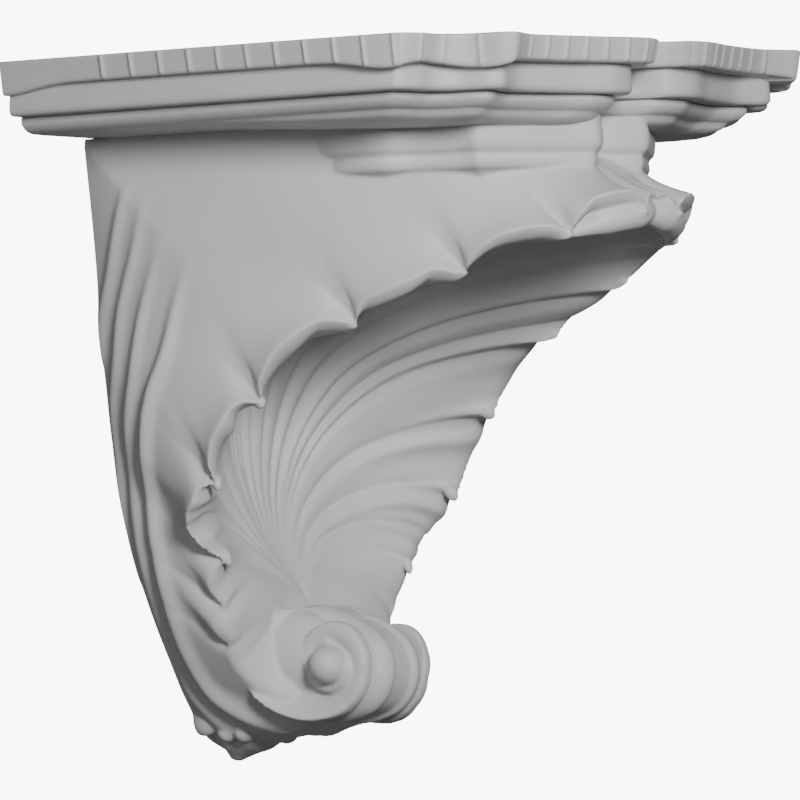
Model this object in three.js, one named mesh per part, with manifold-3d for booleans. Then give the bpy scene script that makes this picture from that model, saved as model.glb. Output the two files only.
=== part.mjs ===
// A cast corbel: a serpentine shelf with a fluted rim, carried by an open ruffled shell
// that rolls into a scroll at its foot and ends in a small leaf.
// Millimetres, +Z up. The origin is on the flat wall face, on the middle line.
// The front looks toward -Y, and the piece is the same on both sides of X = 0.
import * as THREE from 'three';
import * as BufferGeometryUtils from 'three/addons/utils/BufferGeometryUtils.js';
import Module from 'manifold-3d';

// Shelf rim, seen from above
const SHELF_TOP = 120;      // shelf top over the origin
const SHELF_WIDTH = 357;    // across the two wall ends
const CORNER_SPAN = 346;    // across the side corners, where the shelf is a little narrower
const SHELF_SIDE = 238.5;   // wall to the side corners
const SHELF_REACH = 285;    // wall to the crests of the two front lobes
const EAR_SPAN = 246;       // across the tips of the two plain ears
const EAR_REACH = 274.5;    // wall to the ear tips
const CREST_SPAN = 56;      // between the crests of the two front lobes
const NOTCH_REACH = 267;    // wall to the notch between the lobes

// Heights of the mouldings, one under the other
const RIM_HEIGHT = 12.5;
const RIM_DIP = 4.5;        // how much deeper the rim is at its wall ends, corners and ears
const DIP_SPREAD = 22;      // how far a dip spreads along the rim
const RIM_SLANT = 2.6;      // how far the rim's face leans in at its lower edge
const FILLET_HEIGHT = 14.5; // the plain band under the rim
const FILLET_INSET = 8;     // at the wall ends
const FILLET_SETBACK = 13.5; // at the front
const FILLET_NOTCH = 9;      // how much further the notch between the lobes is set back
const OVOLO_HEIGHT = 8;     // the rounded band under the fillet
const OVOLO_INSET = 9.5;
const OVOLO_SETBACK = 9.5;
const COVE_HEIGHT = 6;      // the shallow hollow that meets the shell
const COVE_REACH = 30;      // how far the cove runs inwards
const COVE_RISE = 5.5;      // how much higher the cove ends at the wall than at the front

// Flutes of the rim
const RIDGE_WIDTH = 2.4;
const RIDGE_HEIGHT = 1.1;
const PLAIN_END = 61;       // the plain stretch of the rim at the wall
const SIDE_PITCH = 17.3;
const SIDE_RIDGES = 14;
const FRONT_PITCH = 13;
const FRONT_RIDGES = 8;

// Neck bands between the shell and the soffit
const NECK_HEIGHT = 14;
const COLLAR_HEIGHT = 8;
const COLLAR_INSET = 2.5;
const BAND_GROOVE = 1.2;

// Shell
const SHELL_HEIGHT = 304;   // soffit to the foot of the shell
const SHELL_BURY = 5;       // how far the shell's top stands in the cornice
const RUFFLES = 7.6;        // ruffles along one side of the lip
const RUFFLE_REACH = 4.5;
const RIBS = 20;            // ribs on one side of the hollow
const RIB_DEPTH = 2.6;
const GROOVE_DEPTH = 2.4;
const GROOVES = 3;
const GROOVE_START = 0.55;  // the share of the way from the lip to the wall where the grooves begin

// Scroll
const SCROLL_REACH = 86;    // wall to the scroll's eyes
const SCROLL_DROP = 259;    // soffit to the scroll's eyes
const SCROLL_SPAN = 88;     // over the tips of the two eyes
const WRAP_RADIUS = 23.2;   // the outer wrap in front
const TURN_SHARE = 0.72;    // the inner wrap's share of the outer one
const WRAP_SPAN = 30;       // across both outer wraps
const EYE_RADIUS = 9.5;
const EYE_ROUND = 0.16;     // the share of half the span over which the eye rounds off
const WIND = 0.8;           // mm that a turn's step moves outwards for each radian

// Leaf under the scroll
const LEAF_LENGTH = 86;
const LEAF_WIDTH = 74;
const LEAF_RISE = 22;       // how much higher the leaf ends under the scroll than at the wall
const LEAF_TIP = 304;       // soffit to the leaf's tip
const LEAF_DEPTH = 34;      // the leaf's height at the wall
const LEAF_END_DEPTH = 16;  // and under the scroll
const LEAF_SCALLOP = 3;     // how far its edge rises between two lobes

// Edges shorter than this are closed up after the joining
const SLIVER = 0.02;

// The wall face is cut flat through pieces that run this far behind it
const BEHIND = 6;

const SOFFIT_DROP = RIM_HEIGHT + FILLET_HEIGHT + OVOLO_HEIGHT + COVE_HEIGHT;
const PRIMER = { name: 'primer', color: 0xb9b6b8, roughness: 0.62, metalness: 0 };

const wasm = await Module();
wasm.setup();

const { lerp, smoothstep, clamp } = THREE.MathUtils;

// A place on the right half: across from the middle, out from the wall, down from the shelf top
function place(across, reach, drop) {
  return new THREE.Vector3(across, -reach, SHELF_TOP - drop);
}

function mirrored(point) {
  return new THREE.Vector3(-point.x, point.y, point.z);
}

// A closed solid over rings of equally many points, closed at both ends by a fan to a pole
function ringSolid(rings, firstPole, lastPole) {
  const count = rings[0].length;
  const positions = [firstPole, ...rings.flat(), lastPole].flatMap((p) => [p.x, p.y, p.z]);
  const index = [];
  const last = rings.length * count + 1;
  for (let i = 0; i < count; i++) {
    const next = (i + 1) % count;
    index.push(0, 1 + next, 1 + i);
    for (let ring = 0; ring + 1 < rings.length; ring++) {
      const low = 1 + ring * count;
      const high = low + count;
      index.push(low + i, low + next, high + next, low + i, high + next, high + i);
    }
    const end = 1 + (rings.length - 1) * count;
    index.push(last, end + i, end + next);
  }
  const geometry = new THREE.BufferGeometry();
  geometry.setAttribute('position', new THREE.Float32BufferAttribute(positions, 3));
  geometry.setIndex(index);
  return toManifold(geometry);
}

function toManifold(geometry) {
  const merged = BufferGeometryUtils.mergeVertices(geometry);
  const solid = new wasm.Manifold(new wasm.Mesh({
    numProp: 3,
    vertProperties: new Float32Array(merged.attributes.position.array),
    triVerts: new Uint32Array(merged.index.array),
  }));
  return solid;
}

// The joined solid as a mesh, with the slivers that the joining leaves closed up
function toGeometry(solid) {
  const mesh = solid.getMesh();
  const raw = new THREE.BufferGeometry();
  raw.setAttribute('position', new THREE.BufferAttribute(mesh.vertProperties, 3));
  raw.setIndex(new THREE.BufferAttribute(mesh.triVerts, 1));
  const geometry = BufferGeometryUtils.mergeVertices(raw, SLIVER);
  const corners = geometry.index.array;
  const kept = [];
  for (let i = 0; i < corners.length; i += 3) {
    const [a, b, c] = corners.slice(i, i + 3);
    if (a !== b && b !== c && c !== a) {
      kept.push(a, b, c);
    }
  }
  geometry.setIndex(kept);
  return geometry;
}

// Half of a shelf outline from the wall to the middle, as points across and out
function serpentine({ half, corner, side, ear, earReach, crest, reach, notch }) {
  const gap = corner - ear;
  const rise = earReach - side;
  const base = earReach - 0.17 * rise;
  const points = [
    [half, -BEHIND],
    [lerp(half, corner, 0.4), 0.5 * side],
    [corner, side - 0.15 * gap],
    [corner - 0.04 * gap, side],
    [corner - 0.29 * gap, side + 0.13 * rise],
    [ear + 0.41 * gap, side + 0.15 * rise],
    [ear + 0.22 * gap, side + 0.38 * rise],
    [ear + 0.12 * gap, side + 0.85 * rise],
    [ear, earReach],
    [ear * 0.9, earReach - 0.1 * rise],
    [ear * 0.81, base],
    [lerp(ear * 0.81, crest, 0.55), lerp(base, reach, 0.45)],
    [crest, reach],
    [crest * 0.5, reach - 0.13 * (reach - notch)],
    [crest * 0.25, lerp(reach, notch, 0.68)],
    [0, notch],
  ];
  return new THREE.CatmullRomCurve3(points.map(([x, y]) => new THREE.Vector3(x, y, 0)), false, 'centripetal');
}

const RIM_PLAN = {
  half: SHELF_WIDTH / 2,
  corner: CORNER_SPAN / 2,
  side: SHELF_SIDE,
  ear: EAR_SPAN / 2,
  earReach: EAR_REACH,
  crest: CREST_SPAN / 2,
  reach: SHELF_REACH,
  notch: NOTCH_REACH,
};

// The same outline set in at the wall ends and set back at the front
function setIn(plan, inset, setback, deeper = 0) {
  return {
    half: plan.half - inset,
    corner: plan.corner - 0.5 * (inset + setback),
    side: plan.side - 0.5 * (inset + setback),
    ear: plan.ear - 0.52 * setback,
    earReach: plan.earReach - 1.1 * setback,
    crest: plan.crest + 0.35 * setback,
    reach: plan.reach - setback,
    notch: plan.notch - setback - deeper,
  };
}

const FILLET_PLAN = setIn(RIM_PLAN, FILLET_INSET, FILLET_SETBACK, FILLET_NOTCH);
const OVOLO_PLAN = setIn(FILLET_PLAN, OVOLO_INSET, OVOLO_SETBACK);

// A whole ring from a half outline: right wall end, round the front, left wall end
function wholeRing(curve, steps, drop) {
  const half = [];
  for (let i = 0; i <= steps; i++) {
    const p = curve.getPointAt(i / steps);
    half.push(place(p.x, p.y, drop));
  }
  const left = half.slice(0, -1).reverse().map(mirrored);
  return [...half, ...left].reverse();
}

// Stations along the rim's half outline: a few on the curves and four on each ridge
function rimStations(length) {
  const ridges = [];
  for (let i = 0; i < SIDE_RIDGES; i++) {
    ridges.push(PLAIN_END + i * SIDE_PITCH);
  }
  for (let i = 0; i < FRONT_RIDGES; i++) {
    ridges.push(length - CREST_SPAN / 4 - (i + 0.5) * FRONT_PITCH);
  }
  const stations = [];
  const steps = 34;
  for (let i = 0; i <= steps; i++) {
    const at = (i / steps) * length;
    if (ridges.every((ridge) => Math.abs(ridge - at) > RIDGE_WIDTH)) {
      stations.push({ at, out: 0 });
    }
  }
  for (const at of ridges) {
    stations.push({ at: at - RIDGE_WIDTH / 2, out: 0 });
    stations.push({ at, out: RIDGE_HEIGHT });
    stations.push({ at: at + RIDGE_WIDTH / 2, out: 0 });
  }
  return stations.sort((a, b) => a.at - b.at);
}

// The fluted rim: its face leans in, and its lower edge dips at the wall ends, corners and ears
function rim() {
  const curve = serpentine(RIM_PLAN);
  const length = curve.getLength();
  const earSide = SHELF_SIDE + RIM_PLAN.corner - RIM_PLAN.ear;
  const dips = [0, SHELF_SIDE - 0.5 * DIP_SPREAD, earSide];
  const dip = (at) => dips.reduce((sum, peak) => {
    const away = (at - peak) / DIP_SPREAD;
    return sum + Math.exp(-away * away);
  }, 0);
  const levels = [
    { drop: 0, inset: 1 },
    { drop: 1, inset: 0 },
    { drop: RIM_HEIGHT, inset: RIM_SLANT },
  ];
  const stations = rimStations(length);
  const rings = levels.map(({ drop, inset }) => {
    const half = stations.map(({ at, out }) => {
      const share = clamp(at / length, 0, 1);
      const p = curve.getPointAt(share);
      const t = curve.getTangentAt(share);
      const outward = out - inset;
      const lower = drop === RIM_HEIGHT ? RIM_DIP * dip(at) : 0;
      const reach = p.y - t.x * outward;
      const across = share === 1 ? 0 : p.x + t.y * outward;
      return place(across, reach, drop + lower);
    });
    const left = half.slice(0, -1).reverse().map(mirrored);
    return [...half, ...left].reverse();
  });
  const middle = 0.45 * SHELF_REACH;
  return ringSolid(rings.reverse(), place(0, middle, RIM_HEIGHT), place(0, middle, 0));
}

// The fillet, ovolo and cove under the rim, in one stack
function underMouldings() {
  const steps = 30;
  const filletTop = RIM_HEIGHT - 2;
  const filletFoot = RIM_HEIGHT + FILLET_HEIGHT;
  const ovoloFoot = filletFoot + OVOLO_HEIGHT;
  const cove = setIn(OVOLO_PLAN, COVE_REACH, COVE_REACH);
  const levels = [
    [FILLET_PLAN, filletTop],
    [FILLET_PLAN, filletFoot - 1.5],
    [setIn(FILLET_PLAN, 1.5, 1.5), filletFoot],
    [OVOLO_PLAN, filletFoot + 0.6],
    [OVOLO_PLAN, filletFoot + 0.3 * OVOLO_HEIGHT],
    [setIn(OVOLO_PLAN, 2, 2), filletFoot + 0.7 * OVOLO_HEIGHT],
    [setIn(OVOLO_PLAN, 6, 6), ovoloFoot - 0.6],
    [setIn(OVOLO_PLAN, 0.45 * COVE_REACH, 0.45 * COVE_REACH), ovoloFoot + 0.25 * COVE_HEIGHT],
    [setIn(OVOLO_PLAN, 0.75 * COVE_REACH, 0.75 * COVE_REACH), ovoloFoot + 0.6 * COVE_HEIGHT],
    [cove, SOFFIT_DROP],
  ];
  const middle = place(0, 0.45 * SHELF_REACH, SOFFIT_DROP);
  const rings = levels.map(([plan, drop]) => {
    const risen = clamp((drop - ovoloFoot) / COVE_HEIGHT, 0, 1) * COVE_RISE;
    return wholeRing(serpentine(plan), steps, drop).map((point) => {
      const front = smoothstep(-point.y, 0.2 * SHELF_REACH, 0.7 * SHELF_REACH);
      return point.setZ(point.z + risen * (1 - front));
    });
  });
  const inner = rings[rings.length - 1].map((point) => point.clone().lerp(middle, 0.2).setY(point.y));
  return ringSolid([inner, ...rings.reverse()], middle, middle.clone().setZ(SHELF_TOP - filletTop));
}

// Depths behind the wall face and up in the cornice, in shares of the shell's height
const BURIED = -SHELL_BURY / SHELL_HEIGHT;
const BACK = -BEHIND / SHELL_HEIGHT;

// The neck's half outline, in shares of the shell's height
const NECK_OUTLINE = [
  [0.29, BACK], [0.3, 0.38], [0.321, 0.49], [0.314, 0.565], [0.283, 0.605], [0.26, 0.675],
  [0.255, 0.71], [0.22, 0.735], [0.17, 0.765], [0.11, 0.8], [0.07, 0.825], [0.035, 0.81], [0, 0.78],
];

function neckRing(drop, inset) {
  const shares = NECK_OUTLINE.map(([x, y]) => new THREE.Vector3(x, y, 0).multiplyScalar(SHELL_HEIGHT));
  const curve = new THREE.CatmullRomCurve3(shares, false, 'centripetal');
  const steps = 24;
  const half = [];
  for (let i = 0; i <= steps; i++) {
    const p = curve.getPointAt(i / steps);
    const t = curve.getTangentAt(i / steps);
    const across = i === steps ? 0 : p.x - t.y * inset;
    const reach = p.y + t.x * inset;
    half.push(place(across, reach, drop));
  }
  const left = half.slice(0, -1).reverse().map(mirrored);
  return [...half, ...left].reverse();
}

// One rounded band of the neck
function neckBand(top, height, inset) {
  const rings = [
    neckRing(top, inset + BAND_GROOVE),
    neckRing(top + 0.2 * height, inset),
    neckRing(top + 0.75 * height, inset + 0.6),
    neckRing(top + height, inset + 2.4),
  ];
  const middle = 0.4 * SHELL_HEIGHT;
  return ringSolid(rings.reverse(), place(0, middle, top + height), place(0, middle, top));
}

// A place on the shell, in shares of the shell's height
function carve(across, reach, fall) {
  return place(across * SHELL_HEIGHT, reach * SHELL_HEIGHT, SOFFIT_DROP + fall * SHELL_HEIGHT);
}

function carvedCurve(points) {
  return new THREE.CatmullRomCurve3(points.map((p) => carve(...p)), false, 'centripetal');
}

// The lip of the shell, from the nose under the shelf to the point under the scroll
const LIP = carvedCurve([
  [0, 0.89, 0.12], [0.072, 0.89, 0.128], [0.16, 0.82, 0.165], [0.211, 0.734, 0.197],
  [0.242, 0.653, 0.229], [0.281, 0.544, 0.273], [0.306, 0.439, 0.317], [0.329, 0.365, 0.36],
  [0.341, 0.315, 0.425], [0.35, 0.266, 0.482], [0.352, 0.235, 0.546], [0.324, 0.198, 0.622],
  [0.27, 0.184, 0.681], [0.248, 0.164, 0.745], [0.214, 0.15, 0.809], [0.148, 0.197, 0.891],
  [0.066, 0.263, 0.924], [0, 0.283, 0.934],
]);

// The top of the shell against the soffit, from the front to the wall
const SHELL_TOP = carvedCurve([
  [0, 0.74, BURIED], [0.07, 0.765, BURIED], [0.155, 0.725, BURIED], [0.225, 0.67, BURIED],
  [0.28, 0.56, BURIED], [0.315, 0.4, BURIED], [0.338, 0.22, BURIED], [0.354, BACK, BURIED],
]);

// The edge of the wall face, from the soffit to the foot
const WALL_EDGE = carvedCurve([
  [0.354, BURIED], [0.331, 0.151], [0.3125, 0.349], [0.276, 0.556], [0.243, 0.661],
  [0.2, 0.75], [0.152, 0.829], [0.108, 0.9], [0.06, 0.955], [0, 0.98],
].map(([across, fall]) => [across, BACK, fall]));

const HINGE = carve(0, 0.165, 0.737);
const CORNER_SHARE = 0.47; // the share of the lip that answers to the top corner of the wall face
const HOLLOW_SWEEP = 1.42; // radians: how strongly the paths slow down toward the lip
const HOLLOW_ROUND = 2.2;  // how round the hollow is across; 2 is a parabola
const SWIRL = 0.45;        // the share of its final direction with which a path leaves the hinge

// The hollow's back on the middle line, from the nose to the foot, in shares of the shell's height
const HOLLOW_BACK = carvedCurve([
  [0, 0.888, 0.12], [0, 0.66, 0.137], [0, 0.46, 0.161], [0, 0.3, 0.2], [0, 0.18, 0.27], [0, 0.115, 0.36],
  [0, 0.085, 0.5], [0, 0.1, 0.62], [0, 0.165, 0.737], [0, 0.2, 0.85], [0, 0.283, 0.934],
]);

// Where a curve that only goes down passes a height
function atHeight(line, z) {
  let i = 1;
  while (i < line.length - 1 && line[i].z > z) {
    i += 1;
  }
  const [above, below] = [line[i - 1], line[i]];
  return above.clone().lerp(below, clamp((above.z - z) / (above.z - below.z), 0, 1));
}

const LIP_LINE = LIP.getSpacedPoints(160);
const BACK_LINE = HOLLOW_BACK.getSpacedPoints(120);

// The border behind the lip at a share along it: first the top, then the wall edge
function border(share) {
  if (share <= CORNER_SHARE) {
    return SHELL_TOP.getPointAt(share / CORNER_SHARE);
  }
  return WALL_EDGE.getPointAt((share - CORNER_SHARE) / (1 - CORNER_SHARE));
}

function rufflePhase(share) {
  return share * (RUFFLES + 0.6) - 0.35;
}

// The lip with its ruffles: each ruffle swells forward and ends in a tuck
function ruffledLip(share) {
  const lip = LIP.getPointAt(share);
  const back = border(share).sub(lip).normalize();
  const fade = smoothstep(share, 0, 0.04) * (1 - smoothstep(share, 0.9, 1));
  const swell = 1 - 2 * Math.pow(Math.abs(Math.cos(Math.PI * rufflePhase(share))), 3);
  const scallop = 0.35 * Math.cos(2 * Math.PI * RIBS * share);
  return lip.addScaledVector(back, -RUFFLE_REACH * fade * (swell + scallop));
}

// The smooth hollow: a round recess, read along paths that leave the hinge and swirl aside to the lip
function hollowPoint(share, out) {
  const lip = LIP.getPointAt(share);
  const shift = ruffledLip(share).sub(lip).multiplyScalar(Math.pow(out, 6));
  const aside = Math.sin(out * HOLLOW_SWEEP) / Math.sin(HOLLOW_SWEEP);
  const across = lip.x - HINGE.x;
  const up = lip.z - HINGE.z;
  const angle = Math.atan2(across, up);
  const start = lerp(SWIRL, 1, smoothstep(angle / Math.PI, 0.3, 0.85));
  const turned = angle * lerp(start, 1, Math.pow(out, 0.8));
  const far = Math.hypot(across, up) * aside;
  const x = far * Math.sin(turned);
  const z = HINGE.z + far * Math.cos(turned);
  const edge = atHeight(LIP_LINE, z);
  const back = atHeight(BACK_LINE, z);
  const aslant = edge.x > 0 ? clamp(x / edge.x, 0, 1) : 1;
  return new THREE.Vector3(x, lerp(back.y, edge.y, Math.pow(aslant, HOLLOW_ROUND)), z).add(shift);
}

// The smooth flank, from the lip back to its border
function flankPoint(share, back) {
  const lip = ruffledLip(share);
  const end = border(share);
  const point = lip.lerp(end, back);
  const outward = new THREE.Vector3(Math.sin(0.5 * Math.PI * Math.min(1, 1.6 * share)), 0, 0);
  outward.y = -Math.sqrt(1 - outward.x * outward.x);
  const swell = lerp(-0.05, 0.02, smoothstep(share, 0.02, 0.35)) * Math.sin(Math.PI * back);
  return point.addScaledVector(outward, swell * SHELL_HEIGHT);
}

function normalAt(surface, share, along) {
  const step = 0.004;
  const base = surface(share, along);
  const du = surface(Math.min(share + step, 1), along).sub(surface(Math.max(share - step, 0), along));
  const dv = surface(share, Math.min(along + step, 1)).sub(base);
  return du.cross(dv).normalize();
}

// Ribs stand up in the hollow, strongest halfway and gone at the hinge
function ribbedHollow(share, out) {
  const wave = Math.cos(2 * Math.PI * RIBS * share);
  const height = RIB_DEPTH * wave * smoothstep(out, 0.05, 0.35) * (1 - 0.5 * smoothstep(out, 0.8, 1));
  const seam = smoothstep(share, 0, 0.03) * (1 - smoothstep(share, 0.93, 1));
  const normal = normalAt(hollowPoint, share, out);
  return hollowPoint(share, out).addScaledVector(normal, -height * seam);
}

// Long grooves run down the flank beside the wall
function groovedFlank(share, back) {
  const fade = smoothstep(share, CORNER_SHARE + 0.04, CORNER_SHARE + 0.16) * (1 - smoothstep(share, 0.86, 0.97));
  const span = clamp((back - GROOVE_START) / (1 - GROOVE_START), 0, 1);
  const cut = GROOVE_DEPTH * fade * Math.pow(Math.sin(Math.PI * GROOVES * span), 2) * (back > GROOVE_START ? 1 : 0);
  const point = flankPoint(share, back);
  return point.add(new THREE.Vector3(-cut, 0, 0));
}

function shell() {
  const topSteps = 34;
  const wallSteps = 38;
  const shares = [];
  for (let i = 0; i <= topSteps; i++) {
    shares.push((i / topSteps) * CORNER_SHARE);
  }
  for (let i = 1; i <= wallSteps; i++) {
    shares.push(lerp(CORNER_SHARE, 1, i / wallSteps));
  }
  const hollowStops = [0.12, 0.3, 0.5, 0.7, 0.88, 0.97];
  const flankStops = [0.05, 0.25, 0.5, 0.6, 0.7, 0.775, 0.85, 0.925, 1];
  const paths = shares.map((share) => {
    const lip = ruffledLip(share);
    const hollow = hollowStops.map((out) => ribbedHollow(share, out));
    const flank = flankStops.map((back) => groovedFlank(share, back));
    return [...hollow, lip, ...flank];
  });
  for (const end of [paths[0], paths[paths.length - 1]]) {
    end.forEach((point) => point.setX(0));
  }
  const rings = paths[0].map((_, level) => {
    const right = paths.map((path) => path[level]);
    const left = right.slice(1, -1).reverse().map(mirrored);
    return [...right, ...left];
  });
  return ringSolid(rings, HINGE, carve(0, BACK, BURIED));
}

// The outer wrap's radius in shares of its front one, by quarter turns from the front over the top
const WRAP_GROWTH = new THREE.CatmullRomCurve3([
  [-1, 0.96], [-0.5, 0.98], [0, 1], [0.33, 0.93], [0.6, 0.89], [0.83, 0.92], [1.05, 1.06], [1.25, 1.3],
  [1.45, 1.75], [1.7, 2], [2, 1.9], [2.4, 1.4], [3, 0.96],
].map(([turn, growth]) => new THREE.Vector3(turn, growth, 0)), false, 'centripetal').getSpacedPoints(90);

function wrapRadius(quarters) {
  const i = clamp(WRAP_GROWTH.findIndex((p) => p.x >= quarters), 1, WRAP_GROWTH.length - 1);
  const [low, high] = [WRAP_GROWTH[i - 1], WRAP_GROWTH[i]];
  return WRAP_RADIUS * lerp(low.y, high.y, clamp((quarters - low.x) / (high.x - low.x), 0, 1));
}

// The scroll: a snail whose outer wrap widens toward the hollow, with steps that wind outwards
function scroll() {
  const around = 30;
  const half = SCROLL_SPAN / 2;
  const centreDrop = SOFFIT_DROP + SCROLL_DROP;
  const radiusAt = (across, angle) => {
    const x = Math.abs(across) / half;
    const wrap = wrapRadius(angle / (0.5 * Math.PI));
    const wound = Math.abs(across) - WIND * clamp(angle, 0, Math.PI);
    const turn = wrap * lerp(1, TURN_SHARE, smoothstep(wound, 0.5 * WRAP_SPAN, 0.5 * WRAP_SPAN + 6));
    const neck = lerp(turn, EYE_RADIUS, smoothstep(wound, WRAP_SPAN - 5, WRAP_SPAN + 2));
    const dome = Math.sqrt(Math.max(0, 1 - Math.pow(clamp((x - 1 + EYE_ROUND) / EYE_ROUND, 0, 1), 2)));
    return x > 1 - EYE_ROUND ? EYE_RADIUS * dome : neck;
  };
  const stops = [0, 0.15, 0.28, 0.36, 0.46, 0.58, 0.68, 0.78, 0.84, 0.92, 0.98];
  const line = [...stops.slice(1).reverse().map((x) => -x), ...stops].map((x) => x * half);
  const rings = line.map((across) => {
    const ring = [];
    for (let i = around; i > 0; i--) {
      const angle = (i / around - 0.25) * 2 * Math.PI;
      const radius = radiusAt(across, angle);
      ring.push(place(across, SCROLL_REACH + radius * Math.cos(angle), centreDrop - radius * Math.sin(angle)));
    }
    return ring;
  });
  return ringSolid(rings, place(-half, SCROLL_REACH, centreDrop), place(half, SCROLL_REACH, centreDrop));
}

// The leaf that wraps the underside of the scroll and hangs to the foot
function leaf() {
  const steps = 12;
  const around = 14;
  const foot = SOFFIT_DROP + LEAF_TIP;
  const rings = [];
  for (let i = 0; i <= steps; i++) {
    const share = i / steps;
    const lobe = Math.abs(Math.sin(1.5 * Math.PI * (1 - share)));
    const width = 0.5 * LEAF_WIDTH * (0.55 + 0.45 * Math.sin(Math.PI * lerp(0.1, 1, share))) * (0.85 + 0.15 * lobe);
    const low = foot - LEAF_RISE * Math.pow(share, 1.2) - LEAF_SCALLOP * (1 - lobe);
    const high = low - lerp(LEAF_DEPTH, LEAF_END_DEPTH, share);
    const ring = [];
    for (let k = 0; k < around; k++) {
      const angle = (k / around) * 2 * Math.PI;
      const up = 0.5 - 0.5 * Math.cos(angle);
      ring.push(place(width * Math.sin(angle) * (0.5 + 0.7 * up), lerp(-BEHIND, LEAF_LENGTH, share), lerp(low, high, up)));
    }
    rings.push(ring);
  }
  return ringSolid(rings, place(0, -BEHIND, foot - 20), place(0, LEAF_LENGTH, foot - LEAF_RISE - 8));
}

const neckTop = SOFFIT_DROP - 1;
const collarTop = neckTop + NECK_HEIGHT;
const pieces = [
  rim(),
  underMouldings(),
  neckBand(neckTop, NECK_HEIGHT, 0),
  neckBand(collarTop - 1, COLLAR_HEIGHT + 1, COLLAR_INSET),
  shell(),
  scroll(),
  leaf(),
];
const behindWall = toManifold(
  new THREE.BoxGeometry(2 * SHELF_WIDTH, 4 * BEHIND, 4 * SHELF_TOP + 2 * SHELL_HEIGHT)
    .deleteAttribute('normal')
    .deleteAttribute('uv')
    .translate(0, 2 * BEHIND, 0),
);
const whole = pieces.reduce((sum, piece) => sum.add(piece)).subtract(behindWall);

const corbel = new THREE.Mesh(toGeometry(whole), new THREE.MeshStandardMaterial(PRIMER));
corbel.name = 'corbel';

const part = new THREE.Group();
part.add(corbel);

export default part;
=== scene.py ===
"""A cast corbel, dressed: a fluted serpentine shelf on an open ruffled shell with a scroll at its foot.

Metres, +Z up. The wall face lies in the plane y = 0 and the front looks toward -Y.
"""

import logging
import math
from dataclasses import dataclass, field
from enum import Enum
from typing import Sequence

import bpy
import numpy as np
from mathutils import Matrix, Vector


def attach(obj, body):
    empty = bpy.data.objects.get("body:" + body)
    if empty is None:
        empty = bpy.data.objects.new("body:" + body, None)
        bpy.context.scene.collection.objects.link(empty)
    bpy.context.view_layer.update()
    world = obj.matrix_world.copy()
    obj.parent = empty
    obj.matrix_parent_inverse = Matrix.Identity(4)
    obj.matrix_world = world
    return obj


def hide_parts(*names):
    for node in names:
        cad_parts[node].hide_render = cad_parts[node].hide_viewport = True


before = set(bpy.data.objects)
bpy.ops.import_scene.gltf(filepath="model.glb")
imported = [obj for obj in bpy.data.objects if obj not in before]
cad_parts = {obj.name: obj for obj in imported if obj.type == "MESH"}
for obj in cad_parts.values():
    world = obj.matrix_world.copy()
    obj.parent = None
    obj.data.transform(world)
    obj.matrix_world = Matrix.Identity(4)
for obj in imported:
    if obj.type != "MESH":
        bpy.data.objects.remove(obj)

LOG = logging.getLogger("corbel")
MM = 0.001

# In millimetres: the shelf top over the origin, the shelf's underside below that top, the shell's
# height, and how far bodies run on behind the wall face until they are trimmed.
SHELF_TOP = 120.0
SOFFIT = 41.0
SHELL_HEIGHT = 304.0
BEHIND = 4.0

SIDES = (-1.0, 1.0)
UP = (0.0, 0.0, 1.0)

Places = np.ndarray
Piece = bpy.types.Object
Pairs = Sequence[tuple[float, float]]
Triples = Sequence[tuple[float, float, float]]


class Detail(Enum):
    """How finely the castings are worked: the voxel in metres and the most triangles."""

    QUICK = (0.0022, 90_000)
    FULL = (0.00105, 190_000)

    @property
    def voxel(self) -> float:
        """The voxel's edge in metres."""
        return self.value[0]

    @property
    def triangles(self) -> int:
        """The most triangles that one casting may keep."""
        return self.value[1]


def smoothstep(value: Places | float, low: float, high: float) -> Places:
    """Rises from 0 at low to 1 at high, flat at both ends.

    Args:
        value: Where to read the step.
        low: Where it starts to rise.
        high: Where it is full.

    Returns:
        The height of the step, 0 to 1.
    """
    share = np.clip((np.asarray(value, float) - low) / (high - low), 0.0, 1.0)
    return share * share * (3.0 - 2.0 * share)


def place(across: Places, reach: Places, drop: Places) -> Places:
    """Points from a distance across, out from the wall and down from the shelf top.

    Args:
        across: Millimetres from the middle plane.
        reach: Millimetres out from the wall.
        drop: Millimetres under the shelf top.

    Returns:
        Points in metres, with x, y and z last.
    """
    parts = np.broadcast_arrays(across, -np.asarray(reach, float), SHELF_TOP - np.asarray(drop, float))
    return np.stack(parts, axis=-1) * MM


def smooth_curve(stops: Sequence[Sequence[float]], count: int) -> Places:
    """Evenly spaced points on a centripetal spline through the stops.

    Args:
        stops: The points that the curve passes.
        count: How many points to give back.

    Returns:
        The points, one row each.
    """
    p = np.asarray(stops, float)
    p = np.vstack([2 * p[0] - p[1], p, 2 * p[-1] - p[-2]])
    knots = np.r_[0.0, np.cumsum(np.sqrt(np.linalg.norm(np.diff(p, axis=0), axis=1)))]
    pieces = []
    for i in range(1, len(p) - 2):
        t0, t1, t2, t3 = knots[i - 1 : i + 3]
        t = np.linspace(t1, t2, 40, endpoint=False)[:, None]
        a1 = (t1 - t) / (t1 - t0) * p[i - 1] + (t - t0) / (t1 - t0) * p[i]
        a2 = (t2 - t) / (t2 - t1) * p[i] + (t - t1) / (t2 - t1) * p[i + 1]
        a3 = (t3 - t) / (t3 - t2) * p[i + 1] + (t - t2) / (t3 - t2) * p[i + 2]
        b1 = (t2 - t) / (t2 - t0) * a1 + (t - t0) / (t2 - t0) * a2
        b2 = (t3 - t) / (t3 - t1) * a2 + (t - t1) / (t3 - t1) * a3
        pieces.append((t2 - t) / (t2 - t1) * b1 + (t - t1) / (t2 - t1) * b2)
    line = np.vstack([*pieces, p[-2]])
    return along(line, np.linspace(0.0, 1.0, count))


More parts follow.
